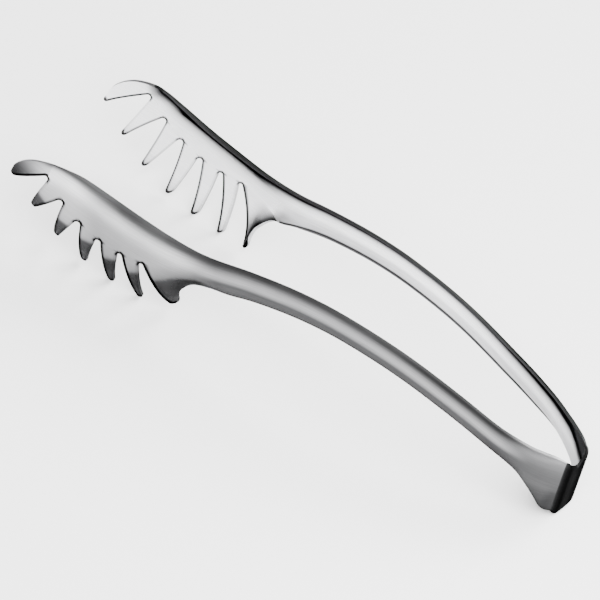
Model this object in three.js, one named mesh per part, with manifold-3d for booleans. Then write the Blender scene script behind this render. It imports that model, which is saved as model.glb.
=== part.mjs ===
// Spaghetti tongs: two pressed scoop arms on a squared spring bow, standing on tooth tips and tail.
// Units are millimetres. Working axes: r runs from the tail to the head, d is the spread from the
// middle plane, z is the height above the table.
import * as THREE from 'three';
import { mergeVertices } from 'three/addons/utils/BufferGeometryUtils.js';
import Module from 'manifold-3d';

// Sheet and joint sizes
const SHEET = 1.2;
const JOINT_GAP = 0.3;
const TAIL_TILT = THREE.MathUtils.degToRad(14.7);

// Squared bow at the tail
const BOW_AXIS_Z = 26.5;
const BOW_FACE_R = -0.18;
const BOW_CORNER_SPREAD = 6.2;
const BOW_CORNER_RADIUS = 3.2;
const BOW_CORNER_TURN = THREE.MathUtils.degToRad(70);
const BOW_UP_MIDDLE = 3.4;
const BOW_UP_CORNER = 9.5;
const BOW_DOWN_MIDDLE = 27.7;
const BOW_DOWN_CORNER = 25.0;
const BOW_ROLL = 1.1;

// Arm profiles as [r, value] along the arm
const SPREAD = [[2, 7], [8, 9.2], [16, 12.1], [29, 15.9], [54, 19.3], [79, 21.7], [105, 23.5], [130, 25.1],
  [156, 26.8], [180, 28.6], [205, 31.1], [230, 32], [256, 31.8], [270, 30.8], [284, 29]];
const AXIS_Z = [[2, 27], [14, 30.7], [27, 35.2], [46, 41.7], [76, 49.4], [106, 52.2], [128, 51], [152, 46.6],
  [172, 41.2], [188, 38.5], [205, 38], [228, 39.4], [256, 41.3], [284, 41]];
const UP = [[2, 9.5], [9, 8.5], [22, 8.1], [34, 7.5], [106, 7.7], [152, 7.9], [172, 8.7], [188, 10],
  [205, 11.3], [222, 12.3], [240, 14], [250, 13.4], [258, 11.6], [284, 10]];
const DOWN = [[2, 25], [4.5, 24], [9.75, 17.6], [15.8, 11.1], [21, 8.4], [28, 7.5], [106, 7.6], [152, 8],
  [172, 8.8], [178, 9.4], [182.4, 10.4], [185.5, 12.4], [188.6, 16], [192, 21.5], [197.6, 32], [212, 37.6],
  [227.5, 39.4], [242, 38], [256, 33.5], [270, 24.5], [284, 13]];
const TRIM = 3;
const TRIM_START = 176;
const TRIM_FULL = 186;
const ROLL_UP = [[2, 1.2], [8, 2.2], [20, 3.6], [60, 4.1], [150, 4.4], [180, 4.8], [222, 5], [240, 3.8], [252, 2.2],
  [284, 1.2]];
const ROLL_DOWN = [[2, 0.6], [16, 1], [30, 2.6], [50, 3.8], [150, 4.3], [170, 4], [184, 3]];
const SCOOP = [[165, 4.4], [184, 6], [197.6, 8], [212, 7], [227.5, 6.7], [242, 6.2], [256, 5.2], [270, 4], [284, 3.2]];
const SCOOP_POWER = 2.4;
const ROLL_WIDTH = 7;
const HEAD_ROLL_WIDTH = 10;
const SCOOP_START = 162;
const SCOOP_FULL = 180;

// Teeth in the side view: tips and slot roots as [r, z]
const TIPS = [[198.4, 6.1], [213.6, 1.0], [228.4, 0], [242.7, 2.5], [257.1, 8.4], [269.7, 17.8], [280.4, 30.6]];
const ROOTS = [[207.4, 27.8], [218.9, 26.2], [229.8, 27.2], [240.1, 30.8], [248.3, 35.6], [256.2, 44]];
const TIP_RADIUS = 1.65;
const ROOT_RADIUS = 2.1;
const NECK_EDGE = [[171, 22], [176, 28.4], [179.4, 29.7], [182.6, 29], [185.6, 26.6], [188.7, 22.4]];
const FINGER_TOP = [[277, 36.4], [273.6, 41], [268.8, 45.2], [261.6, 49.6], [253.4, 53.4], [244, 56.6]];

// Mesh steps
const ROWS_DOWN = 8;
const ROWS_UP = 5;
const FLAT_SHARE = 0.3;

const wasm = await Module();
wasm.setup();

// Smooth value along a profile
function along(profile, r) {
  const last = profile.length - 1;
  if (r <= profile[0][0]) return profile[0][1];
  if (r >= profile[last][0]) return profile[last][1];
  let i = 0;
  while (r > profile[i + 1][0]) i += 1;
  const slope = (k) => {
    const a = profile[Math.max(k - 1, 0)];
    const b = profile[Math.min(k + 1, last)];
    return (b[1] - a[1]) / (b[0] - a[0]);
  };
  const span = profile[i + 1][0] - profile[i][0];
  const t = (r - profile[i][0]) / span;
  const h1 = t * t * (3 - 2 * t);
  const h2 = t * (1 - t) * (1 - t);
  const h3 = t * t * (t - 1);
  return profile[i][1] * (1 - h1) + profile[i + 1][1] * h1 + span * (slope(i) * h2 + slope(i + 1) * h3);
}

// One side of a cross-section: distance from the axis line and inward drop
function rolledSide(t, width, zone, drop) {
  const flat = Math.max(width - zone, 0);
  if (t < FLAT_SHARE) return [flat * t / FLAT_SHARE, 0];
  const turn = (t - FLAT_SHARE) / (1 - FLAT_SHARE) * Math.PI / 2;
  return [flat + (width - flat) * Math.sin(turn), drop * (1 - Math.cos(turn))];
}

function scoopedSide(t, width, trim, drop) {
  const reach = (width + trim) * t;
  return [reach, drop * Math.min(reach / width, 1.1) ** SCOOP_POWER];
}

// A station is a place on the strip with its height direction and outward direction
function sectionPoint(s, v) {
  const t = Math.abs(v);
  let side = rolledSide(t, s.up, s.zone, s.rollUp);
  if (v < 0) {
    const rolled = rolledSide(t, s.down, Math.min(s.down, ROLL_WIDTH), s.rollDown);
    const scooped = scoopedSide(t, s.down, s.trim, s.scoop);
    side = rolled.map((value, k) => THREE.MathUtils.lerp(value, scooped[k], s.scoopShare));
  }
  return s.at.clone().addScaledVector(s.high, Math.sign(v) * side[0]).addScaledVector(s.out, -side[1]);
}

function armStation(r) {
  const step = 0.5;
  const slope = Math.atan((along(AXIS_Z, r + step) - along(AXIS_Z, r - step)) / (2 * step));
  const spreading = Math.atan((along(SPREAD, r + step) - along(SPREAD, r - step)) / (2 * step));
  const upright = THREE.MathUtils.smoothstep(r, 160, 190);
  const tilt = THREE.MathUtils.lerp(r < 14 ? TAIL_TILT : slope, 0, upright);
  const tailward = new THREE.Vector3(-Math.cos(tilt), 0, -Math.sin(tilt));
  const head = THREE.MathUtils.smoothstep(r, 170, 210);
  return {
    at: new THREE.Vector3(r, along(SPREAD, r), along(AXIS_Z, r)),
    high: new THREE.Vector3(-Math.sin(tilt), 0, Math.cos(tilt)),
    out: new THREE.Vector3(0, Math.cos(spreading), 0).addScaledVector(tailward, Math.sin(spreading)),
    up: along(UP, r),
    down: along(DOWN, r),
    zone: Math.min(along(UP, r), THREE.MathUtils.lerp(ROLL_WIDTH, HEAD_ROLL_WIDTH, head)),
    rollUp: along(ROLL_UP, r),
    rollDown: along(ROLL_DOWN, r),
    scoop: along(SCOOP, r),
    trim: TRIM * THREE.MathUtils.smoothstep(r, TRIM_START, TRIM_FULL),
    scoopShare: THREE.MathUtils.smoothstep(r, SCOOP_START, SCOOP_FULL),
  };
}

// Formed sheet: outer skin through the stations, inner skin one sheet thickness below it
function formedSheet(stations) {
  const rows = [];
  for (let j = -ROWS_DOWN; j <= ROWS_UP; j += 1) rows.push(j < 0 ? j / ROWS_DOWN : j / ROWS_UP);
  const outer = stations.map((s) => rows.map((v) => sectionPoint(s, v)));
  const nu = stations.length;
  const nv = rows.length;
  const inner = outer.map((line, i) => line.map((p, j) => {
    const strip = stations[i].out.clone().cross(stations[i].high);
    const across = line[Math.min(j + 1, nv - 1)].clone().sub(line[Math.max(j - 1, 0)]);
    return p.clone().addScaledVector(strip.cross(across).normalize(), SHEET);
  }));
  const index = [];
  const quad = (a, b, c, d) => index.push(a, b, c, a, c, d);
  const id = (i, j, k) => k * nu * nv + i * nv + j;
  for (let i = 0; i < nu - 1; i += 1) {
    for (let j = 0; j < nv - 1; j += 1) {
      quad(id(i, j, 0), id(i, j + 1, 0), id(i + 1, j + 1, 0), id(i + 1, j, 0));
      quad(id(i, j, 1), id(i + 1, j, 1), id(i + 1, j + 1, 1), id(i, j + 1, 1));
    }
    quad(id(i, 0, 0), id(i + 1, 0, 0), id(i + 1, 0, 1), id(i, 0, 1));
    quad(id(i, nv - 1, 0), id(i, nv - 1, 1), id(i + 1, nv - 1, 1), id(i + 1, nv - 1, 0));
  }
  for (let j = 0; j < nv - 1; j += 1) {
    quad(id(0, j, 0), id(0, j, 1), id(0, j + 1, 1), id(0, j + 1, 0));
    quad(id(nu - 1, j, 0), id(nu - 1, j + 1, 0), id(nu - 1, j + 1, 1), id(nu - 1, j, 1));
  }
  const geometry = new THREE.BufferGeometry();
  geometry.setFromPoints([...outer.flat(), ...inner.flat()]);
  geometry.setIndex(index);
  return geometry;
}

// Side view of the head with its seven teeth, joined by lines that touch tip and slot rounds
function headOutline() {
  const rounds = [];
  const toward = (from, to, length) => {
    const step = new THREE.Vector2(to[0] - from[0], to[1] - from[1]).setLength(length);
    return new THREE.Vector2(from[0], from[1]).add(step);
  };
  TIPS.forEach((tip, i) => {
    const a = ROOTS[Math.max(i - 1, 0)];
    const b = ROOTS[Math.min(i, ROOTS.length - 1)];
    const base = [(a[0] + b[0]) / 2, (a[1] + b[1]) / 2];
    if (i === 0) base[0] -= 8;
    if (i === TIPS.length - 1) base[1] += 4;
    rounds.push({ at: toward(tip, base, TIP_RADIUS), radius: TIP_RADIUS, tip: true });
    if (i < ROOTS.length) {
      const mouth = [(tip[0] + TIPS[i + 1][0]) / 2, (tip[1] + TIPS[i + 1][1]) / 2];
      rounds.push({ at: toward(ROOTS[i], mouth, ROOT_RADIUS), radius: ROOT_RADIUS, tip: false });
    }
  });
  const heading = (a, b) => {
    const run = b.at.clone().sub(a.at);
    const offset = (a.tip ? a.radius : -a.radius) - (b.tip ? b.radius : -b.radius);
    return run.angle() + Math.asin(offset / run.length());
  };
  const start = { at: new THREE.Vector2(...NECK_EDGE[NECK_EDGE.length - 1]), radius: 0, tip: true };
  const end = { at: new THREE.Vector2(...FINGER_TOP[0]), radius: 0, tip: true };
  const chain = [start, ...rounds, end];
  const shape = new THREE.Shape();
  shape.moveTo(-20, -10);
  shape.lineTo(NECK_EDGE[0][0], -10);
  NECK_EDGE.forEach(([r, z]) => shape.lineTo(r, z));
  for (let i = 1; i < chain.length - 1; i += 1) {
    const c = chain[i];
    const quarter = c.tip ? -Math.PI / 2 : Math.PI / 2;
    const from = heading(chain[i - 1], c) + quarter;
    const to = heading(c, chain[i + 1]) + quarter;
    shape.absarc(c.at.x, c.at.y, c.radius, from, to, !c.tip);
  }
  shape.lineTo(...FINGER_TOP[0]);
  shape.splineThru(FINGER_TOP.slice(1).map(([r, z]) => new THREE.Vector2(r, z)));
  shape.lineTo(242, 80);
  shape.lineTo(-20, 80);
  return shape;
}

function toManifold(source) {
  const geometry = source.clone();
  geometry.deleteAttribute('normal');
  geometry.deleteAttribute('uv');
  const welded = mergeVertices(geometry, 1e-5);
  return new wasm.Manifold(new wasm.Mesh({
    numProp: 3,
    vertProperties: new Float32Array(welded.attributes.position.array),
    triVerts: new Uint32Array(welded.index.array),
  }));
}

function fromManifold(solid) {
  const mesh = solid.getMesh();
  const geometry = new THREE.BufferGeometry();
  geometry.setAttribute('position', new THREE.BufferAttribute(new Float32Array(mesh.vertProperties), 3));
  geometry.setIndex(new THREE.BufferAttribute(new Uint32Array(mesh.triVerts), 1));
  return geometry;
}

// Right arm, on the +d side
function armGeometry() {
  const stops = [];
  const bowEnd = bowStations().at(-1).at.x;
  for (let r = bowEnd + JOINT_GAP; r < 30; r += 2.8) stops.push(r);
  for (let r = 30; r < 174; r += 7) stops.push(r);
  for (let r = 174; r < 200; r += 2.4) stops.push(r);
  for (let r = 200; r < 284; r += 3.8) stops.push(r);
  const sheet = toManifold(formedSheet(stops.map(armStation)));
  const outline = new THREE.ExtrudeGeometry(headOutline(), { depth: 60, bevelEnabled: false, curveSegments: 5 });
  outline.rotateX(Math.PI / 2);
  outline.translate(0, 55, 0);
  return fromManifold(sheet.intersect(toManifold(outline)));
}

// Stations of the bow from the middle plane round one corner
function bowStations() {
  const high = new THREE.Vector3(-Math.sin(TAIL_TILT), 0, Math.cos(TAIL_TILT));
  const tailward = new THREE.Vector3(-Math.cos(TAIL_TILT), 0, -Math.sin(TAIL_TILT));
  const spreadward = new THREE.Vector3(0, 1, 0);
  const face = new THREE.Vector3(BOW_FACE_R, 0, BOW_AXIS_Z);
  const arcStart = BOW_CORNER_SPREAD - BOW_CORNER_RADIUS * Math.tan(BOW_CORNER_TURN / 2);
  const station = (at, out, share) => ({
    at, out, high: high.clone(),
    up: THREE.MathUtils.lerp(BOW_UP_MIDDLE, BOW_UP_CORNER, Math.sin(share * Math.PI / 2)),
    down: THREE.MathUtils.lerp(BOW_DOWN_MIDDLE, BOW_DOWN_CORNER, share * share),
    zone: 3, rollUp: BOW_ROLL, rollDown: BOW_ROLL, scoop: 0, trim: 0, scoopShare: 0,
  });
  const stations = [];
  for (const k of [0, 0.35, 0.7]) {
    const spread = arcStart * k;
    stations.push(station(face.clone().addScaledVector(spreadward, spread), tailward.clone(), 0.6 * k));
  }
  const centre = face.clone().addScaledVector(spreadward, arcStart).addScaledVector(tailward, -BOW_CORNER_RADIUS);
  for (let i = 0; i <= 6; i += 1) {
    const turn = BOW_CORNER_TURN * i / 6;
    const out = tailward.clone().multiplyScalar(Math.cos(turn)).addScaledVector(spreadward, Math.sin(turn));
    stations.push(station(centre.clone().addScaledVector(out, BOW_CORNER_RADIUS), out, 0.6 + 0.4 * i / 6));
  }
  return stations;
}

function bowGeometry() {
  const half = bowStations();
  const flip = new THREE.Vector3(1, -1, 1);
  const mirrored = half.slice(1).reverse().map((s) => ({
    ...s, at: s.at.clone().multiply(flip), out: s.out.clone().multiply(flip), high: s.high.clone(),
  }));
  return formedSheet([...mirrored, ...half]);
}

function mirroredArm(geometry) {
  const copy = geometry.clone().scale(1, -1, 1);
  const order = copy.index.array;
  for (let i = 0; i < order.length; i += 3) [order[i], order[i + 1]] = [order[i + 1], order[i]];
  return copy;
}

function piece(name, geometry, color) {
  const mesh = new THREE.Mesh(geometry, new THREE.MeshStandardMaterial({ color, metalness: 1, roughness: 0.3 }));
  mesh.name = name;
  return mesh;
}

// Working axes to the part frame: the tail points to +X and the origin sits under the middle
const right = armGeometry();
const left = mirroredArm(right);
const bow = bowGeometry();
const box = new THREE.Box3();
for (const geometry of [right, left, bow]) {
  geometry.rotateZ(Math.PI);
  geometry.computeBoundingBox();
  box.union(geometry.boundingBox);
}
const middle = box.getCenter(new THREE.Vector3());
for (const geometry of [right, left, bow]) {
  geometry.translate(-middle.x, -middle.y, -box.min.z);
  geometry.computeVertexNormals();
}

const tongs = new THREE.Group();
tongs.name = 'spaghetti_tongs';
tongs.add(piece('tail_bow', bow, 0xb9bcc0));
tongs.add(piece('left_arm', right, 0xc4c7ca));
tongs.add(piece('right_arm', left, 0xc4c7ca));
export default tongs;
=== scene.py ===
# Spaghetti tongs: pressed steel skins for the bow and the two scoop arms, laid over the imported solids.
import math

import bmesh
import bpy
from mathutils import Matrix, Vector
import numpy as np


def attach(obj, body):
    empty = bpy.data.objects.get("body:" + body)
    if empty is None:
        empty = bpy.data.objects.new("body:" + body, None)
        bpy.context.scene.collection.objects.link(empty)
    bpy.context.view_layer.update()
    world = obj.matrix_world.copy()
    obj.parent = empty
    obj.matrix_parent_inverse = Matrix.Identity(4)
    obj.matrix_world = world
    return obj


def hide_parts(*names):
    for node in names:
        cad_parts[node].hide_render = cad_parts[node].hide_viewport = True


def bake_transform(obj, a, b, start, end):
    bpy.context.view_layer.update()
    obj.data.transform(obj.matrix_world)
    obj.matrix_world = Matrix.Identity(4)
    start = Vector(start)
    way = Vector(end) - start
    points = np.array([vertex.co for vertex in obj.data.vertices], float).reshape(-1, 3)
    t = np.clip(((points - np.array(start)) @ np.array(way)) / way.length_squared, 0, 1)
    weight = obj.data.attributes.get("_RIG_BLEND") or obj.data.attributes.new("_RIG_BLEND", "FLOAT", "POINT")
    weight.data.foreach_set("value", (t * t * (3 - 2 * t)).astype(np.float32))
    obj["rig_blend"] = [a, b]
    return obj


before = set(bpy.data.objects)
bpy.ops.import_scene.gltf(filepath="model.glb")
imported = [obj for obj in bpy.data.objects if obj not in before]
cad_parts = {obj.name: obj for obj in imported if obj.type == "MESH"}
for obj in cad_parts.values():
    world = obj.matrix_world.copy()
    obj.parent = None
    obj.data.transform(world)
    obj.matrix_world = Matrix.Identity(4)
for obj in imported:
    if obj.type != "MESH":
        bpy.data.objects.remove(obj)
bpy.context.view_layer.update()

# Frame of the part: r runs from the tail to the head in millimetres, h up across the strip
TAIL_X = 139.4446
TABLE_LIFT = 0.0142
SHEET = 1.2
TAIL_TILT = math.radians(14.7)

# Squared bow at the tail
BOW_AXIS_Z = 26.5
BOW_FACE_R = -0.18
BOW_CORNER_SPREAD = 6.2
BOW_CORNER_RADIUS = 3.2
BOW_CORNER_TURN = math.radians(70)
BOW_UP = (3.4, 9.8)
BOW_DOWN = (27.7, 25.0)
BOW_ROLL = 1.1
BOW_ZONE = 3.0
BOW_FLAT_SHARE = 0.4
BOW_HALF_LENGTH = 8

# Arm profiles as (r, value)
SPREAD = ((2, 7), (8, 10.4), (16, 13.7), (29, 16.9), (54, 19.5), (79, 21.7), (105, 23.5), (130, 25.1),
          (156, 26.8), (180, 28.6), (205, 31.1), (230, 32), (256, 31.8), (270, 30.8), (284, 29))
AXIS_Z = ((2, 27), (14, 30.7), (27, 35.2), (46, 41.7), (76, 49.4), (106, 52.2), (128, 51), (152, 46.6),
          (172, 41.2), (188, 38.5), (205, 38), (228, 39.4), (256, 41.3), (284, 41))
UP = ((2, 9.8), (5, 10.5), (9, 10.1), (16, 9.2), (23, 8.7), (34, 8.1), (60, 7.8), (106, 7.65), (152, 7.9),
      (172, 8.7), (188, 10), (205, 11.3), (222, 12.3), (240, 14), (250, 13.4), (258, 11.6), (284, 10))
DOWN = ((2, 25), (4.5, 23.7), (9.75, 15.4), (15.8, 10.1), (21, 8.5), (28, 8.1), (60, 8), (106, 7.8),
        (152, 8.1), (172, 9.2), (178, 10.7), (182.4, 12), (185.5, 13.8), (188.6, 16.6), (192, 21.5),
        (197.6, 32), (212, 37.6), (227.5, 39.4), (242, 38), (256, 33.5), (270, 24.5), (284, 13))
ROLL_UP = ((2, 1.2), (8, 2), (20, 2.6), (34, 2.7), (60, 3), (150, 3.1), (178, 3.3), (194, 4.4), (206, 5),
           (222, 5), (238, 3.8), (247, 2.2), (253, 1.4), (284, 1))
ROLL_DOWN = ((2, 0.6), (16, 1), (30, 2.6), (50, 3.3), (150, 3.8), (170, 3.8), (184, 3))
SCOOP = ((165, 4.4), (184, 5.2), (197.6, 7), (212, 6.9), (227.5, 6.7), (242, 6.2), (256, 5.2), (270, 4),
         (284, 3.2))
SCOOP_POWER = 2.4
SCOOP_REACH = 1.1
ROLL_WIDTH = 7.0
HEAD_ROLL_WIDTH = 10.0
SPADE_SPLAY = 2.0
SPLAY_HEIGHTS = (6, 17)

# Where one form of the strip passes into the next, as (from, to) in r
TILT_STARTS = (6, 22)
TILT_ENDS = (160, 190)
ROLL_WIDENS = (2, 20)
HEAD_ROLL_WIDENS = (170, 210)
LOW_ROLL_WIDENS = (2, 30)
SCOOP_STARTS = (162, 180)
SPLAY_STARTS = (2, 7)
SPLAY_ENDS = (13, 24)
HEAD_ROWS_START = (168, 190)

# Teeth in the side view as (r, z), from the neck prong to the front finger
TIPS = ((195.5, 5.7), (212.4, 0.5), (227.7, 0.4), (242.5, 2.6), (257, 8.4), (269.3, 17.9), (279.7, 30.5))
ROOTS = ((206.2, 28.9), (217.5, 27.3), (228.8, 27.6), (239.4, 30.9), (248.6, 36.9), (256.5, 44.6))
TIP_RADII = (1.65, 1.7, 2.1, 2.1, 1.95, 1.75, 1.65)
ROOT_RADII = (1.5, 1.6, 1.9, 1.95, 1.95, 1.75)
SLOT_LEAN = 0.68
LEAN_FROM = TIPS[2][0]
NECK_START = (179.6, 28.6)
NECK_EDGE = ((182.8, 27.2), (186, 24.4), (189, 20.6), (191.8, 16.2))
FINGER_TOP = ((277.6, 35.6), (276, 38.8), (273.4, 41.9), (269.4, 45.6), (264.6, 48.9), (258.6, 51.7),
              (253.4, 53.9))
PRONG_LEANS_BACK = 8.0
FINGER_LIFTS = 4.0

TINY = 1e-9

# Grid steps; the columns along the handle are runs of (first r, step, count)
ROLL_ROWS = 8
FLAT_ROWS = 12
ROWS = 2 * ROLL_ROWS + FLAT_ROWS + 1
UPPER_SHARE = 0.6
LOWER_SHARE = 0.45
ARC_STEPS = 7
LINE_STEPS = 20
CURVE_STEPS = 24
HANDLE_COLUMNS = ((2.5, 0.75, 20), (17.6, 1.6, 9), (32, 2.97, 50))
TOOTH_COLUMNS = 10
PRONG_COLUMNS = 16
ROOT_STEPS = ARC_STEPS + 3
TOOTH_STEPS = 100
MARK_SLACK = 1e-4
LEAST_WIDTH = 0.5
BOW_FLAT_COLUMNS = 5
BOW_CORNER_COLUMNS = 12


def along(profile, r):
    """Smooth value of a profile at r."""
    last = len(profile) - 1
    if r <= profile[0][0]:
        return profile[0][1]
    if r >= profile[last][0]:
        return profile[last][1]
    i = 0
    while r > profile[i + 1][0]:
        i += 1

    def slope(k):
        a = profile[max(k - 1, 0)]
        b = profile[min(k + 1, last)]
        return (b[1] - a[1]) / (b[0] - a[0])

    span = profile[i + 1][0] - profile[i][0]
    t = (r - profile[i][0]) / span
    ease = t * t * (3 - 2 * t)
    bend = slope(i) * t * (1 - t) * (1 - t) + slope(i + 1) * t * t * (t - 1)
    return profile[i][1] * (1 - ease) + profile[i + 1][1] * ease + span * bend


def ramp(x, low, high):
    t = min(max((x - low) / (high - low), 0.0), 1.0)
    return t * t * (3 - 2 * t)


def mix(a, b, share):
    return a + (b - a) * share


def arm_station(r):
    """Place on the arm strip with its height and outward directions and its section sizes."""
    slope = math.atan(along(AXIS_Z, r + 0.5) - along(AXIS_Z, r - 0.5))
    spreading = math.atan(along(SPREAD, r + 0.5) - along(SPREAD, r - 0.5))
    tilt = mix(TAIL_TILT, slope, ramp(r, *TILT_STARTS)) * (1 - ramp(r, *TILT_ENDS))
    tailward = Vector((-math.cos(tilt), 0, -math.sin(tilt)))
    handle_zone = mix(BOW_ZONE, ROLL_WIDTH, ramp(r, *ROLL_WIDENS))
    return {
        "at": Vector((r, along(SPREAD, r), along(AXIS_Z, r))),
        "high": Vector((-math.sin(tilt), 0, math.cos(tilt))),
        "out": Vector((0, math.cos(spreading), 0)) + tailward * math.sin(spreading),
        "up": along(UP, r),
        "down": along(DOWN, r),
        "zone_up": mix(handle_zone, HEAD_ROLL_WIDTH, ramp(r, *HEAD_ROLL_WIDENS)),
        "zone_down": mix(BOW_ZONE, ROLL_WIDTH, ramp(r, *LOW_ROLL_WIDENS)),
        "roll_up": along(ROLL_UP, r),
        "roll_down": along(ROLL_DOWN, r),
        "scoop": along(SCOOP, r),
        "scoop_share": ramp(r, *SCOOP_STARTS),
        "splay": SPADE_SPLAY * ramp(r, *SPLAY_STARTS) * (1 - ramp(r, *SPLAY_ENDS)),
    }


def bow_station(share):
    """Place on the bow: share 0 is the middle plane, 1 the end of the corner."""
    high = Vector((-math.sin(TAIL_TILT), 0, math.cos(TAIL_TILT)))
    tailward = Vector((-math.cos(TAIL_TILT), 0, -math.sin(TAIL_TILT)))
    spreadward = Vector((0, 1, 0))
    face = Vector((BOW_FACE_R, 0, BOW_AXIS_Z))
    arc_start = BOW_CORNER_SPREAD - BOW_CORNER_RADIUS * math.tan(BOW_CORNER_TURN / 2)
    turn = BOW_CORNER_TURN * max(share - BOW_FLAT_SHARE, 0) / (1 - BOW_FLAT_SHARE)
    out = tailward * math.cos(turn) + spreadward * math.sin(turn)
    if share <= BOW_FLAT_SHARE:
        at = face + spreadward * (arc_start * share / BOW_FLAT_SHARE)
    else:
        at = face + spreadward * arc_start + (out - tailward) * BOW_CORNER_RADIUS
    return {
        "at": at, "high": high, "out": out,
        "up": mix(BOW_UP[0], BOW_UP[1], math.sin(share * math.pi / 2)),
        "down": mix(BOW_DOWN[0], BOW_DOWN[1], share * share),
        "zone_up": BOW_ZONE, "zone_down": BOW_ZONE, "roll_up": BOW_ROLL, "roll_down": BOW_ROLL,
        "scoop": 0.0, "scoop_share": 0.0, "splay": 0.0,
    }


def skin_point(s, h):
    """Outer surface at height h across the strip."""
    if h >= 0:
        zone = min(s["zone_up"], s["up"])
        lift = min(max((h - s["up"] + zone) / zone, 0.0), 1.0)
        drop = s["roll_up"] * (1 - math.sqrt(1 - lift * lift))
    else:
        zone = min(s["zone_down"], s["down"])
        lift = min(max((-h - s["down"] + zone) / zone, 0.0), 1.0)
        rolled = s["roll_down"] * (1 - math.sqrt(1 - lift * lift))
        scooped = s["scoop"] * min(-h / s["down"], SCOOP_REACH) ** SCOOP_POWER
        drop = mix(rolled, scooped, s["scoop_share"]) - s["splay"] * ramp(-h, *SPLAY_HEIGHTS)
    return s["at"] + s["high"] * h - s["out"] * drop


def side_point(r, z):
    """Outer surface at a place given in the side view."""
    place = r
    h = 0.0
    for _ in range(4):
        s = arm_station(place)
        h = (z - s["at"].z) / s["high"].z
        place = r - s["high"].x * h
    return skin_point(arm_station(place), h), h


def row_heights(s, bottom, head_share, side):
    """Heights of the rows from the lower edge to the upper edge, closer together on the rolls."""
    span = s["up"] - bottom
    zone = min(s["zone_up"], UPPER_SHARE * span)
    upper = [s["up"] - zone + zone * math.sin(math.pi / 2 * k / ROLL_ROWS) for k in range(ROLL_ROWS + 1)]
    low_zone = min(s["zone_down"], LOWER_SHARE * span)
    rolled = [bottom + low_zone * (1 - math.sin(math.pi / 2 * (ROLL_ROWS - k) / ROLL_ROWS))
              for k in range(ROLL_ROWS)]
    steps = ROLL_ROWS + FLAT_ROWS - len(LINE_PLACES[side])
    even = [bottom] + [bottom + d for d in LINE_PLACES[side]]
    even += [mix(even[-1], upper[0], k / steps) for k in range(1, steps)]
    middle = [mix(bottom + low_zone, upper[0], k / FLAT_ROWS) for k in range(FLAT_ROWS)]
    lower = [mix(a, b, head_share) for a, b in zip(rolled + middle, even)]
    return lower + upper


# Tooth outlines, drawn with round ends on a leaning sheet
def lean(p):
    return Vector((p[0], p[1] + SLOT_LEAN * (p[0] - LEAN_FROM)))


def upright(p):
    return Vector((p[0], p[1] - SLOT_LEAN * (p[0] - LEAN_FROM)))


def tooth_rounds():
    """Circles of the tooth tips and of the slot roots, in order along the lower edge."""
    tips = []
    roots = []
    for i, tip in enumerate(TIPS):
        a = lean(ROOTS[max(i - 1, 0)])
        b = lean(ROOTS[min(i, len(ROOTS) - 1)])
        base = (a + b) / 2
        if i == 0:
            base.x -= PRONG_LEANS_BACK
        if i == len(TIPS) - 1:
            base.y += FINGER_LIFTS
        tips.append(lean(tip) + (base - lean(tip)).normalized() * TIP_RADII[i])
    chain = [lean(p) for p in [NECK_START] + list(ROOTS) + [FINGER_TOP[-1]]]
    for before, at, after, radius in zip(chain, chain[1:], chain[2:], ROOT_RADII):
        run = ((at - before).normalized() + (after - at).normalized()).normalized()
        roots.append(at + Vector((run.y, -run.x)) * radius)
    return tips, roots


def angle(v):
    return math.atan2(v.y, v.x)


def heading(turn):
    return Vector((math.cos(turn), math.sin(turn)))


def arc(centre, radius, start, end, steps):
    """Points on a circle between two directions, the short way round."""
    sweep = (end - start + math.pi) % (2 * math.pi) - math.pi
    return [centre + radius * heading(start + sweep * k / steps) for k in range(steps + 1)]


def line(a, b, steps):
    """Points from a to b, without the first."""
    return [a.lerp(b, k / steps) for k in range(1, steps + 1)]


def slot_side(root_centre, root_point, tip_centre, tip_point, tailward_side):
    """One side of a tooth from the slot root to the tip: root round, straight side, tip round."""
    run = tip_centre - root_centre
    root_radius = (root_point - root_centre).length
    tip_radius = (tip_point - tip_centre).length
    slant = math.asin((root_radius + tip_radius) / run.length)
    turn = -slant if tailward_side else slant
    across = angle(run) + turn + (math.pi / 2 if tailward_side else -math.pi / 2)
    leave = root_centre + root_radius * heading(across)
    meet = tip_centre - tip_radius * heading(across)
    first = arc(root_centre, root_radius, angle(root_point - root_centre), across, ARC_STEPS)
    last = arc(tip_centre, tip_radius, across + math.pi, angle(tip_point - tip_centre), ARC_STEPS)
    return first + line(leave, meet, LINE_STEPS) + last[1:]


def free_side(points, tip_centre, tip_point, tailward_side):
    """An outer side of the row of teeth: a smooth edge, then the tip round."""
    tip_radius = (tip_point - tip_centre).length
    run = tip_centre - points[-1]
    slant = math.asin(tip_radius / run.length)
    turn = -slant if tailward_side else slant
    across = angle(run) + turn + (-math.pi / 2 if tailward_side else math.pi / 2)
    meet = tip_centre + tip_radius * heading(across)
    path = smooth_path(points + [meet], ARC_STEPS + LINE_STEPS)
    last = arc(tip_centre, tip_radius, across, angle(tip_point - tip_centre), ARC_STEPS)
    return path + last[1:]


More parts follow.
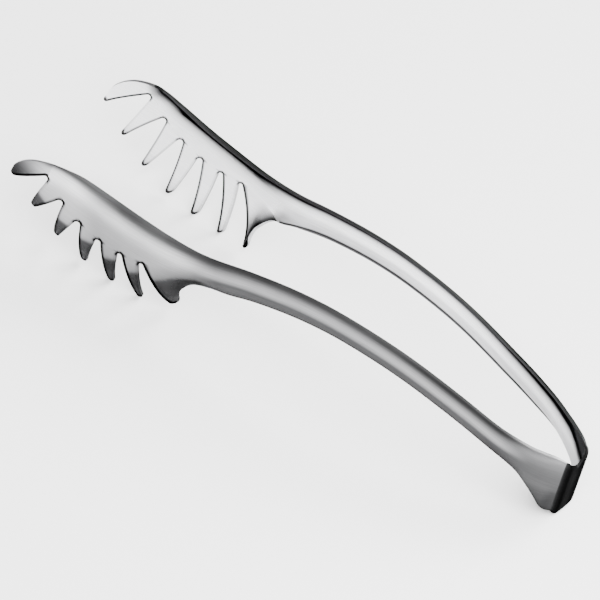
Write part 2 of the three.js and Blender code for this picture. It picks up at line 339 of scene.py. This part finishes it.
def smooth_path(points, steps):
    """Evenly spaced points on a smooth curve through the given ones."""
    fine = []
    n = len(points)
    for i in range(n - 1):
        before = points[i - 1] if i else points[0] * 2 - points[1]
        after = points[i + 2] if i + 2 < n else points[-1] * 2 - points[-2]
        a = (points[i + 1] - before) / 2
        b = (after - points[i]) / 2
        for k in range(CURVE_STEPS):
            t = k / CURVE_STEPS
            ease = t * t * (3 - 2 * t)
            fine.append(points[i].lerp(points[i + 1], ease) + a * t * (1 - t) ** 2 + b * t * t * (t - 1))
    fine.append(points[-1])
    reach = [0.0]
    for p, q in zip(fine, fine[1:]):
        reach.append(reach[-1] + (q - p).length)
    path = []
    i = 0
    for k in range(steps + 1):
        want = reach[-1] * k / steps
        while i < len(fine) - 2 and reach[i + 1] < want:
            i += 1
        path.append(fine[i].lerp(fine[i + 1], (want - reach[i]) / max(reach[i + 1] - reach[i], TINY)))
    return path


def tooth_sides():
    """Tail side and head side of each tooth, as rows of points that match one to one."""
    tips, roots = tooth_rounds()
    sides = []
    last = len(TIPS) - 1
    for i, tip in enumerate(TIPS):
        point = lean(tip)
        if i == 0:
            neck = [lean(NECK_START)] + [lean(p) for p in NECK_EDGE]
            tail_side = free_side(neck, tips[i], point, True)
        else:
            tail_side = slot_side(roots[i - 1], lean(ROOTS[i - 1]), tips[i], point, True)
        if i == last:
            top = [lean(p) for p in reversed(FINGER_TOP)]
            head_side = free_side(top, tips[i], point, False)
        else:
            head_side = slot_side(roots[i], lean(ROOTS[i]), tips[i], point, False)
        sides.append(([upright(p) for p in tail_side], [upright(p) for p in head_side]))
    return sides


def tooth_share(i, spot):
    """How far down a tooth a place is, from 0 at its root to 1 at its tip."""
    corners = [NECK_START] + list(ROOTS) + [FINGER_TOP[-1]]
    root = (lean(corners[i]) + lean(corners[i + 1])) / 2
    axis = lean(TIPS[i]) - root
    return (lean(spot) - root).dot(axis) / axis.length_squared


# Painted reflections and shade of the steel: light and dark bands as base colour, against height h or
# against the distance in from the upper edge
SPADE_OUT = ((-25, 0.04), (-13, 0.045), (-9, 0.07), (0, 0.085), (4, 0.11), (8, 0.15), (9.8, 0.2))
HANDLE_OUT = ((-8, 0.09), (-5, 0.095), (-3, 0.095), (-1.6, 0.075), (-0.5, 0.085), (0.9, 0.21), (2.6, 0.28),
              (4.2, 0.22), (6, 0.12), (7.6, 0.09))
HEAD_OUT = ((0, 0.13), (0.8, 0.13), (1.6, 0.18), (2, 0.24), (2.75, 0.37), (4, 0.46), (5.5, 0.53), (7, 0.51),
            (8.5, 0.46), (10, 0.4), (12, 0.335), (14, 0.31), (18, 0.295), (26, 0.29))
TAIL_IN = ((-24, 0.7), (-9, 0.65), (-3, 0.65), (-1, 0.5), (0.5, 0.3), (1.8, 0.05), (2.6, 0.012), (4, 0.012),
           (5.2, 0.035), (6.6, 0.06), (9.8, 0.06))
HANDLE_IN = ((-8, 0.85), (-7, 0.93), (-5, 0.95), (-3, 0.95), (-1, 0.95), (0.5, 0.82), (1.9, 0.55),
             (3.1, 0.2), (4.2, 0.035), (6, 0.02), (8, 0.03))
HEAD_IN = ((0, 0.015), (4, 0.008), (7.2, 0.009), (8.4, 0.014), (9.2, 0.07), (10, 0.26), (11, 0.48),
           (12.5, 0.66), (14, 0.82), (18, 0.93), (26, 0.95))
FINGER_ROOT_IN = ((0, 0.03), (3, 0.04), (5, 0.12), (7, 0.4), (9, 0.85), (14, 0.95))
PALE_IN = 0.95

# Painted dark reflection on the bow, as base colour from corner to corner
BOW_OUT = ((-1, 0.04), (-0.9, 0.015), (-0.5, 0.008), (-0.25, 0.02), (0, 0.02), (0.25, 0.008), (0.5, 0.01),
           (0.7, 0.03), (1, 0.04))

# Height of the neck's shaded crease along r, and the share of the tone left above and below it
NECK_SHADE = ((164, -3), (170, -3.2), (176, -3.8), (180, -4.7), (184, -6.2), (188, -7.8), (192, -10),
              (196, -12.6), (200, -15.6), (204, -18.5))
NECK_DARK = ((-16, 0.22), (-12, 0.175), (-6, 0.165), (-3, 0.185), (-1.5, 0.2), (-0.4, 0.24), (0.5, 0.5),
             (2.5, 0.66), (5, 0.8), (9, 1))

# Painted shade: shares of the tone left close to the edges of the strip
TAIL_TOP = 0.75
TAIL_FOOT = 0.7
NEAR_SPINE = 0.75
NEAR_TAIL = 0.45
FAR_SPINE = 0.3
FAR_TAIL = 0.2

# Where one tone passes into the next, as (from, to) in r, in h or in the depth below the upper edge
SPADE_TO_HANDLE = (12, 30)
HANDLE_TO_HEAD = (168, 192)
TAIL_TOP_SPAN = (50, 90)
TAIL_TOP_HEIGHTS = (3, 6)
TAIL_FOOT_SPAN = (28, 44)
TAIL_FOOT_HEIGHTS = (-3, 0)
NECK_STARTS = (170, 180)
NECK_ENDS = (207, 214)
SQUEEZE = 0.6
SQUEEZE_SPAN = (205, 238)
SQUEEZE_DEPTHS = (2, 5)
FRONT_GLEAM = 0.5
FRONT_SPAN = (228, 244)
NEAR_SPINE_SPAN = (200, 215)
NEAR_SPINE_DEPTHS = (1.5, 3)
NEAR_TAIL_STARTS = (12, 24)
NEAR_TAIL_ENDS = (50, 110)
NEAR_TAIL_DEPTHS = (0.5, 3)
FAR_SPINE_SPAN = (170, 195)
FAR_SPINE_DEPTHS = (2, 4.5)
FAR_TAIL_SPAN = (40, 90)
FAR_TAIL_DEPTHS = (3, 6)
TAIL_PINCH = 4.0
TAIL_PINCH_SPAN = (2, 14)
TAIL_TO_HANDLE_IN = (30, 95)
HANDLE_TO_HEAD_IN = (174, 198)
FINGER_ROOT_SPAN = (238, 252)
FINGER_PALE = 0.8
FINGER_PALE_SPAN = (250, 262)
SATIN_DEPTHS = (2.5, 6)
SATIN_ENDS = (170, 184)

# Painted shade and reflections on the teeth: shares of the strip's tone down a tooth, and where each tooth
# turns dark
TEETH_FROM = 215
TOOTH_EDGE = (0, 0.31, 0.31, 0.28, 0.38, 0.44)
TOOTH_OUT = ((-0.5, 1), (-0.12, 0.9), (-0.04, 0.74), (0.03, 0.27), (0.1, 0.2), (0.3, 0.21), (0.4, 0.26),
             (0.6, 0.3))
FINGER_OUT = ((0, 0.72), (0.2, 0.52), (0.45, 0.28), (0.62, 0.18), (0.8, 0.12), (0.92, 0.12), (1, 0.2))
PRONG_IN = ((0, 0.95), (0.3, 0.93), (0.45, 0.7), (0.65, 0.33), (0.85, 0.25), (1, 0.25))
PRONG_EDGE = ((0, 0.03), (1.4, 0.1), (2, 0.2), (4, 0.4), (7, 0.75), (11, 1))
TOOTH_IN = ((0, 1), (0.6, 1), (0.8, 0.85), (1, 0.5))
FINGER_IN_SPAN = (0, 0.2)

# Painted shade lines along the pressed edges, and painted shade and reflections on the cut edges
LINE_PLACES = {-1: (0.6, 1.5, 1.8), 1: (0.5, 1.05, 1.35)}
LINE_WIDTHS = {-1: (1.4, 1.7), 1: (0.95, 1.25)}
LINE_SHARE = 0.15
LINE_DEPTH = 0.97
LINE_ROWS = 4
TURNED_LINE = 0.25
TURNED_TO_TAIL = (0.2, 0.8)
TURNED_UP = (0.3, 0.65)
LOW_LINE = 0.06
LOW_LINE_ROWS = 2
SPINE_RIM = 0.04
LOW_RIM = 0.1
HEAD_SIDE_RIM = 0.2
TAIL_SIDE_RIM = 0.5
FINGER_RIM = 0.35
SLOT_END_RIM = 0.05
SLOT_END_STEPS = (4, 11)


def outer_tone_at(r, h, up, side):
    """Base colour of the outer face between the bow and the slot roots, with painted reflections, shade and
    highlight as light and dark bands.
    """
    depth = up - h
    handle = along(HANDLE_OUT, h)
    handle *= mix(mix(TAIL_TOP, 1, ramp(r, *TAIL_TOP_SPAN)), 1, 1 - ramp(h, *TAIL_TOP_HEIGHTS))
    handle *= mix(mix(TAIL_FOOT, 1, ramp(r, *TAIL_FOOT_SPAN)), 1, ramp(h, *TAIL_FOOT_HEIGHTS))
    squeezed = depth * (1 + SQUEEZE * ramp(r, *SQUEEZE_SPAN) * (1 - ramp(depth, *SQUEEZE_DEPTHS)))
    tone = mix(along(SPADE_OUT, h), handle, ramp(r, *SPADE_TO_HANDLE))
    tone = mix(tone, along(HEAD_OUT, squeezed), ramp(r, *HANDLE_TO_HEAD))
    neck = ramp(r, *NECK_STARTS) * (1 - ramp(r, *NECK_ENDS))
    tone *= mix(1, along(NECK_DARK, h - along(NECK_SHADE, r)), neck)
    tone *= 1 + FRONT_GLEAM * ramp(r, *FRONT_SPAN)
    if side < 0:
        tone *= mix(1, mix(NEAR_SPINE, 1, ramp(depth, *NEAR_SPINE_DEPTHS)), ramp(r, *NEAR_SPINE_SPAN))
        tail = ramp(r, *NEAR_TAIL_STARTS) * (1 - ramp(r, *NEAR_TAIL_ENDS))
        tone *= mix(1, mix(NEAR_TAIL, 1, ramp(depth, *NEAR_TAIL_DEPTHS)), tail)
    else:
        tone *= mix(1, mix(FAR_SPINE, 1, ramp(depth, *FAR_SPINE_DEPTHS)), ramp(r, *FAR_SPINE_SPAN))
        tone *= mix(mix(FAR_TAIL, 1, ramp(depth, *FAR_TAIL_DEPTHS)), 1, ramp(r, *FAR_TAIL_SPAN))
    return tone


def inner_tone_at(r, h, up):
    """Base colour of the inner face between the bow and the slot roots, with painted reflections and shade
    as light and dark bands.
    """
    depth = up - h
    tail = along(TAIL_IN, h + TAIL_PINCH * (1 - ramp(r, *TAIL_PINCH_SPAN)))
    head = mix(along(HEAD_IN, depth), along(FINGER_ROOT_IN, depth), ramp(r, *FINGER_ROOT_SPAN))
    head = mix(head, PALE_IN, FINGER_PALE * ramp(r, *FINGER_PALE_SPAN))
    tone = mix(tail, along(HANDLE_IN, h), ramp(r, *TAIL_TO_HANDLE_IN))
    return mix(tone, head, ramp(r, *HANDLE_TO_HEAD_IN))


def tooth_tones(i, reach, r, h, side):
    """Outer and inner tones on a tooth, by reach down it: painted shade and reflections, mostly darker
    toward the tip.
    """
    up = along(UP, r)
    root = r if i == 0 else max(r, TEETH_FROM)
    outer = outer_tone_at(root, h, up, side)
    inner = inner_tone_at(root, h, up)
    if i == 0:
        inner *= along(PRONG_IN, reach)
    elif i == len(TIPS) - 1:
        outer *= along(FINGER_OUT, reach)
        inner = mix(inner, PALE_IN, ramp(reach, *FINGER_IN_SPAN))
    else:
        outer *= along(TOOTH_OUT, reach - TOOTH_EDGE[i])
        inner *= along(TOOTH_IN, reach)
    return outer, inner


def slot_pieces(sides, steps):
    """Slot edges of each tooth as short pieces with the way their open side faces."""
    marks = []
    for tail_side, head_side in sides:
        pieces = []
        for run, way in ((tail_side, -1), (head_side, 1)):
            if run is (sides[0][0] if way < 0 else sides[-1][1]):
                continue
            points = [lean(p) for p in run[:steps + 1]]
            for a, b in zip(points, points[1:]):
                ahead = (b - a).normalized()
                pieces.append((a, b, Vector((-ahead.y, ahead.x)) * way))
        marks.append(pieces)
    return marks


def edge_line(spot, pieces, width):
    """Share left of the tone beside slot edges, a painted shade line, darkest along the edges that face the
    head or the table.
    """
    p = lean(spot)
    left = 1.0
    for a, b, way in pieces:
        run = b - a
        t = (p - a).dot(run) / max(run.length_squared, TINY)
        gap = (a + run * min(max(t, 0.0), 1.0) - p).length
        if gap < width[1]:
            dark = mix(1, TURNED_LINE, ramp(-way.x, *TURNED_TO_TAIL))
            dark *= mix(1, TURNED_LINE, ramp(way.y, *TURNED_UP))
            left = min(left, 1 - LINE_DEPTH * dark * (1 - ramp(gap, width[0], width[1])))
    return left


# Finish of the sheet: lengths in metres, and the millimetres in one unit of its flat coordinates
WELD = 2e-6
EDGE_SOFTNESS = 0.0003
SHARP_EDGE = math.radians(50)
UV_SCALE = 100


def place(p, side):
    """Working axes to the part frame, in metres."""
    return Vector((TAIL_X - p.x, side * p.y, p.z + TABLE_LIFT)) / 1000


def grid_sheet(bm, columns, rows):
    """A flat grid whose vertices know their column and row."""
    bmesh.ops.create_grid(bm, x_segments=columns - 1, y_segments=rows - 1, size=0.5)
    column = bm.verts.layers.float.new("column")
    row = bm.verts.layers.float.new("row")
    for v in bm.verts:
        v[column] = round((v.co.x + 0.5) * (columns - 1))
        v[row] = round((v.co.y + 0.5) * (rows - 1))


def edge_run(bm, test):
    """Edges whose two ends both pass the test."""
    return [e for e in bm.edges if all(test(v) for v in e.verts)]


def finish_skin(name, bm, outward, materials):
    """Turns a formed surface into a sheet of even thickness with softened edges."""
    bmesh.ops.remove_doubles(bm, verts=bm.verts, dist=WELD)
    bmesh.ops.recalc_face_normals(bm, faces=bm.faces)
    sample = max(bm.faces, key=lambda f: f.calc_area())
    if sample.normal.dot(outward) < 0:
        bmesh.ops.reverse_faces(bm, faces=bm.faces)
    for f in bm.faces:
        f.smooth = True
    mesh = bpy.data.meshes.new(name)
    bm.to_mesh(mesh)
    bm.free()
    skin = bpy.data.objects.new(name, mesh)
    bpy.context.scene.collection.objects.link(skin)
    for material in materials:
        mesh.materials.append(material)
    wall = skin.modifiers.new("sheet", "SOLIDIFY")
    wall.thickness = SHEET / 1000
    wall.offset = -1
    wall.use_even_offset = True
    wall.material_offset = 1
    wall.material_offset_rim = 2
    edge = skin.modifiers.new("softened edges", "BEVEL")
    edge.width = EDGE_SOFTNESS
    edge.segments = 2
    edge.limit_method = "ANGLE"
    edge.angle_limit = SHARP_EDGE
    edge.profile = 0.5
    return skin


def surface_layers(bm):
    """Layers for the place along and across the strip, its tones and satin, and its flat coordinates."""
    layers = bm.verts.layers.float
    names = ("along", "height", "outer_tone", "inner_tone", "rim_tone", "satin")
    for name in names:
        layers.new(name)
    strip_uv = bm.loops.layers.uv.new("strip")
    return [layers[name] for name in names] + [strip_uv]


def lay_uv(bm, strip_uv, along_layer, height_layer):
    """Flat coordinates of the strip, along it and across it."""
    for f in bm.faces:
        for loop in f.loops:
            loop[strip_uv].uv = (loop.vert[along_layer] / UV_SCALE, loop.vert[height_layer] / UV_SCALE)


def edge_share(step, count, width, side):
    """Share across a tooth of one of its columns, with columns beside each edge for the dark line."""
    if step > count / 2:
        return 1 - edge_share(count - step, count, width, side)
    lines = [0.0] + [min(d / width, LINE_SHARE * (n + 1)) for n, d in enumerate(LINE_PLACES[side])]
    if step < len(lines):
        return lines[step]
    return mix(lines[-1], 0.5, (step - len(lines) + 1) / (count / 2 - len(lines) + 1))


def arm_columns(side):
    """Places of the columns at the upper edge and at the lower edge of the strip."""
    bottoms = [first + step * k for first, step, count in HANDLE_COLUMNS for k in range(count)]
    corners = [NECK_START[0]] + [root[0] for root in ROOTS]
    spans = [PRONG_COLUMNS] + [TOOTH_COLUMNS] * (len(ROOTS) - 1)
    for a, b, n in zip(corners, corners[1:], spans):
        bottoms += [mix(a, b, edge_share(k, n, b - a, side)) for k in range(n)]
    bottoms.append(corners[-1])
    neck = corners[0]
    reach = corners[-1] - neck
    tops = [b if b < neck else mix(neck, FINGER_TOP[-1][0], (b - neck) / reach) for b in bottoms]
    return tops, bottoms, len(bottoms) - 1 - sum(spans)


def root_line(r):
    """Height of the line through the slot roots."""
    chain = [NECK_START] + list(ROOTS)
    for a, b in zip(chain, chain[1:]):
        if r <= b[0]:
            return mix(a[1], b[1], (r - a[0]) / (b[0] - a[0]))
    return chain[-1][1]


def draw_teeth(bm, starts, steps):
    """Draws each tooth out of its own run of edges, row by row."""
    column = bm.verts.layers.float["column"]
    row = bm.verts.layers.float["row"]
    tooth = bm.verts.layers.float["tooth"]
    front = max(v[column] for v in bm.verts)
    for i in range(len(TIPS)):
        if i < len(ROOTS):
            low, high = starts[i], starts[i + 1]
            run = edge_run(bm, lambda v: v[row] == 0 and v[tooth] == 0 and low <= v[column] <= high)
        else:
            run = edge_run(bm, lambda v: v[column] == front and v[tooth] == 0)
        for k in range(1, steps + 1):
            mark = i + 1 + k / TOOTH_STEPS
            geom = bmesh.ops.extrude_edge_only(bm, edges=run)["geom"]
            for v in geom:
                if isinstance(v, bmesh.types.BMVert):
                    v[tooth] = mark
            run = [e for e in geom if isinstance(e, bmesh.types.BMEdge)
                   and all(abs(v[tooth] - mark) < MARK_SLACK for v in e.verts)]


def arm_skin(name, side, materials):
    """One arm: a strip from the bow to the slot roots, with the teeth drawn out of its lower edge."""
    tops, bottoms, neck_column = arm_columns(side)
    bm = bmesh.new()
    grid_sheet(bm, len(tops) + 1, ROWS)
    bm.verts.layers.float.new("tooth")
    far, height, outer_tone, inner_tone, rim_tone, satin, strip_uv = surface_layers(bm)
    column = bm.verts.layers.float["column"]
    row = bm.verts.layers.float["row"]
    tooth = bm.verts.layers.float["tooth"]
    sides = tooth_sides()
    steps = len(sides[0][0]) - 1
    pieces = slot_pieces(sides, steps)
    root_pieces = [piece for marks in slot_pieces(sides, ROOT_STEPS) for piece in marks]
    starts = [neck_column + 1]
    starts += [starts[0] + PRONG_COLUMNS + TOOTH_COLUMNS * k for k in range(len(ROOTS))]
    draw_teeth(bm, starts, steps)
    stations = [bow_station(1.0)] + [arm_station(r) for r in tops]
    lows = [-stations[0]["down"]]
    for r_low in bottoms:
        s = arm_station(r_low)
        lows.append(-s["down"] if r_low < NECK_START[0] else root_line(r_low) - s["at"].z)
    shares = [0.0] + [ramp(r, *HEAD_ROWS_START) for r in tops]
    ladders = [row_heights(s, low, share, side) for s, low, share in zip(stations, lows, shares)]
    finger_low = lows[-1]
    finger_high = stations[-1]["up"]
    for v in bm.verts:
        c = int(round(v[column]))
        j = int(round(v[row]))
        if v[tooth] == 0:
            h = ladders[c][j]
            s = stations[c]
            if c:
                share = (stations[c]["up"] - h) / (stations[c]["up"] - lows[c])
                s = arm_station(mix(tops[c - 1], bottoms[c - 1], share))
                h = min(h, s["up"])
            p = skin_point(s, h)
            r = p.x if c else 0.0
            # Painted reflections and shade on the strip's faces and cut edges
            v[outer_tone] = outer_tone_at(r, h, s["up"], side)
            v[inner_tone] = inner_tone_at(r, h, s["up"])
            v[rim_tone] = SPINE_RIM if j > ROWS / 2 else LOW_RIM
            v[satin] = ramp(-h, *SATIN_DEPTHS) * (1 - ramp(p.x, *SATIN_ENDS))
            # Painted shade line along the inner face's lower edge
            if j < LOW_LINE_ROWS and p.x < NECK_START[0]:
                v[inner_tone] *= LOW_LINE
            # Painted shade lines beside the slot roots
            if j < LINE_ROWS and p.x > NECK_START[0]:
                left = edge_line((p.x, p.z), root_pieces, LINE_WIDTHS[side])
                v[outer_tone] *= left
                v[inner_tone] *= left
        else:
            i = int(v[tooth] + MARK_SLACK) - 1
            k = int(round((v[tooth] - i - 1) * TOOTH_STEPS))
            width = (sides[i][1][k] - sides[i][0][k]).length
            if i < len(ROOTS):
                count = starts[i + 1] - starts[i]
                t = edge_share(c - starts[i], count, max(width, LEAST_WIDTH), side)
            else:
                t = (ladders[-1][j] - finger_low) / (finger_high - finger_low)
            spot = sides[i][0][k].lerp(sides[i][1][k], t)
            # Painted shade lines beside the slot edges
            left = edge_line(spot, pieces[i], LINE_WIDTHS[side])
            p, h = side_point(spot.x, spot.y)
            outer, inner = tooth_tones(i, tooth_share(i, spot), spot.x, h, side)
            if i == 0:
                inner *= along(PRONG_EDGE, t * width)
            v[outer_tone] = outer * left
            v[inner_tone] = inner * left
            # Cut edges of the teeth: painted shade and reflection, a tone for each side, darker at the near
            # arm's slot ends
            v[rim_tone] = HEAD_SIDE_RIM
            if t < 0.5 and side < 0:
                v[rim_tone] = outer * mix(SLOT_END_RIM, 1, ramp(k, *SLOT_END_STEPS))
            elif t < 0.5:
                v[rim_tone] = TAIL_SIDE_RIM
            elif t > 0.5 and i == len(ROOTS):
                v[rim_tone] = FINGER_RIM
        v[far] = p.x
        v[height] = h
        v.co = place(p, side)
    lay_uv(bm, strip_uv, far, height)
    return finish_skin(name, bm, Vector((0, side, 0)), materials)


def bow_skin(name, materials):
    """The squared bow, with closer columns around its two corners."""
    half = [k / BOW_FLAT_COLUMNS * BOW_FLAT_SHARE for k in range(BOW_FLAT_COLUMNS)]
    half += [mix(BOW_FLAT_SHARE, 1, k / BOW_CORNER_COLUMNS) for k in range(BOW_CORNER_COLUMNS + 1)]
    shares = [-s for s in reversed(half[1:])] + half
    bm = bmesh.new()
    grid_sheet(bm, len(shares), ROWS)
    far, height, outer_tone, inner_tone, rim_tone, satin, strip_uv = surface_layers(bm)
    column = bm.verts.layers.float["column"]
    row = bm.verts.layers.float["row"]
    for v in bm.verts:
        share = shares[int(round(v[column]))]
        s = bow_station(abs(share))
        h = row_heights(s, -s["down"], 0.0, 1)[int(round(v[row]))]
        v[far] = -BOW_HALF_LENGTH * abs(share)
        v[height] = h
        # Painted dark reflection on the bow's outer face; painted reflections and shade inside
        v[outer_tone] = along(BOW_OUT, share)
        v[inner_tone] = along(TAIL_IN, h + TAIL_PINCH)
        v[rim_tone] = SPINE_RIM
        v.co = place(skin_point(s, h), 1 if share >= 0 else -1)
    lay_uv(bm, strip_uv, far, height)
    return finish_skin(name, bm, Vector((1, 0, 0)), materials)


# Steel: grain stretched along the strip, and how far it varies tone and roughness
GRAIN_STRETCH = (6.0, 210.0, 1.0)
GRAIN_TONE = (0.7, 1.3)
CLOUD_SCALE = 9.0
CLOUD_ROUGHNESS = (0.82, 1.2)
COOL_TINT = 1.02
GRAIN_HEIGHT = 0.0002


def node(tree, kind, **values):
    made = tree.nodes.new(kind)
    for key, value in values.items():
        setattr(made, key, value)
    return made


def map_range(tree, low, high):
    made = node(tree, "ShaderNodeMapRange")
    made.inputs["To Min"].default_value = low
    made.inputs["To Max"].default_value = high
    return made


def brushed_grain_group():
    """Fine polishing lines along the strip with slow cloudy variation."""
    group = bpy.data.node_groups.new("brushed grain", "ShaderNodeTree")
    for output in ("Lines", "Cloud"):
        group.interface.new_socket(output, in_out="OUTPUT", socket_type="NodeSocketFloat")
    goes_out = node(group, "NodeGroupOutput")
    uv = node(group, "ShaderNodeUVMap", uv_map="strip")
    stretch = node(group, "ShaderNodeMapping")
    stretch.inputs["Scale"].default_value = GRAIN_STRETCH
    lines = node(group, "ShaderNodeTexNoise")
    lines.inputs["Scale"].default_value = 1.0
    lines.inputs["Detail"].default_value = 4.0
    lines.inputs["Roughness"].default_value = 0.62
    cloud = node(group, "ShaderNodeTexNoise")
    cloud.inputs["Scale"].default_value = CLOUD_SCALE
    cloud.inputs["Detail"].default_value = 3.0
    link = group.links.new
    link(uv.outputs["UV"], stretch.inputs["Vector"])
    link(stretch.outputs["Vector"], lines.inputs["Vector"])
    link(uv.outputs["UV"], cloud.inputs["Vector"])
    link(lines.outputs["Fac"], goes_out.inputs["Lines"])
    link(cloud.outputs["Fac"], goes_out.inputs["Cloud"])
    return group


def steel(name, grain, tone, roughness, bump, edge_tint, satin=0.0):
    """Brushed steel; tone names its base colour's attribute, which carries painted reflections and shade;
    satin adds roughness low on the strip.
    """
    material = bpy.data.materials.new(name)
    material.use_nodes = True
    tree = material.node_tree
    link = tree.links.new
    shader = tree.nodes["Principled BSDF"]
    shader.inputs["Metallic"].default_value = 1.0
    shader.inputs["Specular Tint"].default_value = (edge_tint, edge_tint, edge_tint, 1)
    lines = node(tree, "ShaderNodeGroup", node_tree=grain)
    # Base colour: the tone attribute's painted reflections and shade, streaked by the grain
    reading = node(tree, "ShaderNodeAttribute", attribute_name=tone)
    streak = map_range(tree, *GRAIN_TONE)
    shade = node(tree, "ShaderNodeMath", operation="MULTIPLY")
    cool = node(tree, "ShaderNodeMath", operation="MULTIPLY")
    cool.inputs[1].default_value = COOL_TINT
    tint = node(tree, "ShaderNodeCombineColor")
    link(lines.outputs["Lines"], streak.inputs["Value"])
    link(reading.outputs["Fac"], shade.inputs[0])
    link(streak.outputs["Result"], shade.inputs[1])
    link(shade.outputs["Value"], cool.inputs[0])
    link(shade.outputs["Value"], tint.inputs["Red"])
    link(shade.outputs["Value"], tint.inputs["Green"])
    link(cool.outputs["Value"], tint.inputs["Blue"])
    link(tint.outputs["Color"], shader.inputs["Base Color"])
    # Roughness
    rough = map_range(tree, *(roughness * share for share in CLOUD_ROUGHNESS))
    roughened = rough.outputs["Result"]
    link(lines.outputs["Cloud"], rough.inputs["Value"])
    if satin:
        low_down = node(tree, "ShaderNodeAttribute", attribute_name="satin")
        rougher = node(tree, "ShaderNodeMath", operation="MULTIPLY_ADD")
        rougher.inputs[1].default_value = satin
        link(low_down.outputs["Fac"], rougher.inputs[0])
        link(roughened, rougher.inputs[2])
        roughened = rougher.outputs["Value"]
    link(roughened, shader.inputs["Roughness"])
    # Grain
    relief = node(tree, "ShaderNodeBump")
    relief.inputs["Strength"].default_value = bump
    relief.inputs["Distance"].default_value = GRAIN_HEIGHT
    link(lines.outputs["Lines"], relief.inputs["Height"])
    link(relief.outputs["Normal"], shader.inputs["Normal"])
    return material


grain = brushed_grain_group()
# Steels whose base colours carry painted reflections and shade from the tone attributes
finishes_with_painted_light = [
    steel("satin outer steel", grain, "outer_tone", roughness=0.46, bump=0.05, edge_tint=0.2),
    steel("polished inner steel with painted reflections", grain, "inner_tone", roughness=0.26, bump=0.03, edge_tint=0.3, satin=0.45),
    steel("cut edge steel", grain, "rim_tone", roughness=0.4, bump=0.03, edge_tint=0.25),
]

# The sheet near the bow bends between these two places, then follows its arm
BEND_START = Vector((2.0, 7.0, 27.0))
BEND_END = Vector((26.0, 15.0, 35.0))

bow = bow_skin("bow_sheet", finishes_with_painted_light)
left = arm_skin("left_arm_sheet", -1, finishes_with_painted_light)
right = arm_skin("right_arm_sheet", 1, finishes_with_painted_light)
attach(bow, "bow")
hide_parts("tail_bow")
for skin, body, solid, side in ((left, "left_side", "left_arm", -1), (right, "right_side", "right_arm", 1)):
    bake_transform(skin, "bow", body, start=place(BEND_START, side), end=place(BEND_END, side))
    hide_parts(solid)


# Floor and light
FLOOR_REACH = 4.0
FLOOR_DROP = 0.0003
LIT_PLACE = (0, 0, 0.03)


def matte(name, value):
    material = bpy.data.materials.new(name)
    material.use_nodes = True
    tree = material.node_tree
    shader = tree.nodes["Principled BSDF"]
    shader.inputs["Roughness"].default_value = 0.9
    speck = node(tree, "ShaderNodeTexNoise")
    speck.inputs["Scale"].default_value = 60.0
    shade = map_range(tree, value * 0.99, value)
    tree.links.new(speck.outputs["Fac"], shade.inputs["Value"])
    tree.links.new(shade.outputs["Result"], shader.inputs["Base Color"])
    return material


def floor():
    bm = bmesh.new()
    bmesh.ops.create_grid(bm, x_segments=2, y_segments=2, size=FLOOR_REACH)
    bmesh.ops.translate(bm, verts=bm.verts, vec=(0, 0, -FLOOR_DROP))
    mesh = bpy.data.meshes.new("table top")
    bm.to_mesh(mesh)
    bm.free()
    mesh.materials.append(matte("pale table", 0.92))
    top = bpy.data.objects.new("table top", mesh)
    bpy.context.scene.collection.objects.link(top)


def soft_box(name, at, size, power):
    data = bpy.data.lights.new(name, "AREA")
    data.shape = "SQUARE"
    data.size = size
    data.energy = power
    lamp = bpy.data.objects.new(name, data)
    lamp.location = at
    lamp.rotation_euler = (Vector(LIT_PLACE) - Vector(at)).to_track_quat("-Z", "Y").to_euler()
    bpy.context.scene.collection.objects.link(lamp)


floor()
soft_box("front soft box", at=(1.3, -0.5, 1.6), size=1.8, power=210)
soft_box("rear soft box", at=(0.9, 1.2, 1.5), size=1.5, power=110)

world = bpy.data.worlds.new("studio")
world.use_nodes = True
world.node_tree.nodes["Background"].inputs["Color"].default_value = (1, 1, 1, 1)
world.node_tree.nodes["Background"].inputs["Strength"].default_value = 0.35
bpy.context.scene.world = world

# Camera: the picture's axes, its scale, and its middle as pixels right and up from the bow
MM_PER_PIXEL = 0.40288
PICTURE_PIXELS = 600.6
PICTURE_MIDDLE = (-274.4, 186.5)
SENSOR = 36
DISTANCE = 9000.0
VIEW_RIGHT = Vector((0.74667, 0.66519, 0.0))
VIEW_UP = Vector((-0.47563, 0.53389, 0.69910))
VIEW_BACK = VIEW_RIGHT.cross(VIEW_UP)
BOW_MIDDLE = Vector((TAIL_X, 0, 17.3))
MIDDLE_DEPTH = 64.0
target = BOW_MIDDLE - VIEW_BACK * MIDDLE_DEPTH
target += VIEW_RIGHT * (PICTURE_MIDDLE[0] * MM_PER_PIXEL) + VIEW_UP * (PICTURE_MIDDLE[1] * MM_PER_PIXEL)
camera_data = bpy.data.cameras.new("camera")
camera_data.sensor_width = SENSOR
camera_data.lens = SENSOR * DISTANCE / (PICTURE_PIXELS * MM_PER_PIXEL)
camera_data.clip_end = 30
camera = bpy.data.objects.new("camera", camera_data)
turn = Matrix((VIEW_RIGHT, VIEW_UP, VIEW_BACK)).transposed().to_4x4()
camera.matrix_world = Matrix.Translation((target + VIEW_BACK * DISTANCE) / 1000) @ turn
bpy.context.scene.collection.objects.link(camera)
bpy.context.scene.camera = camera
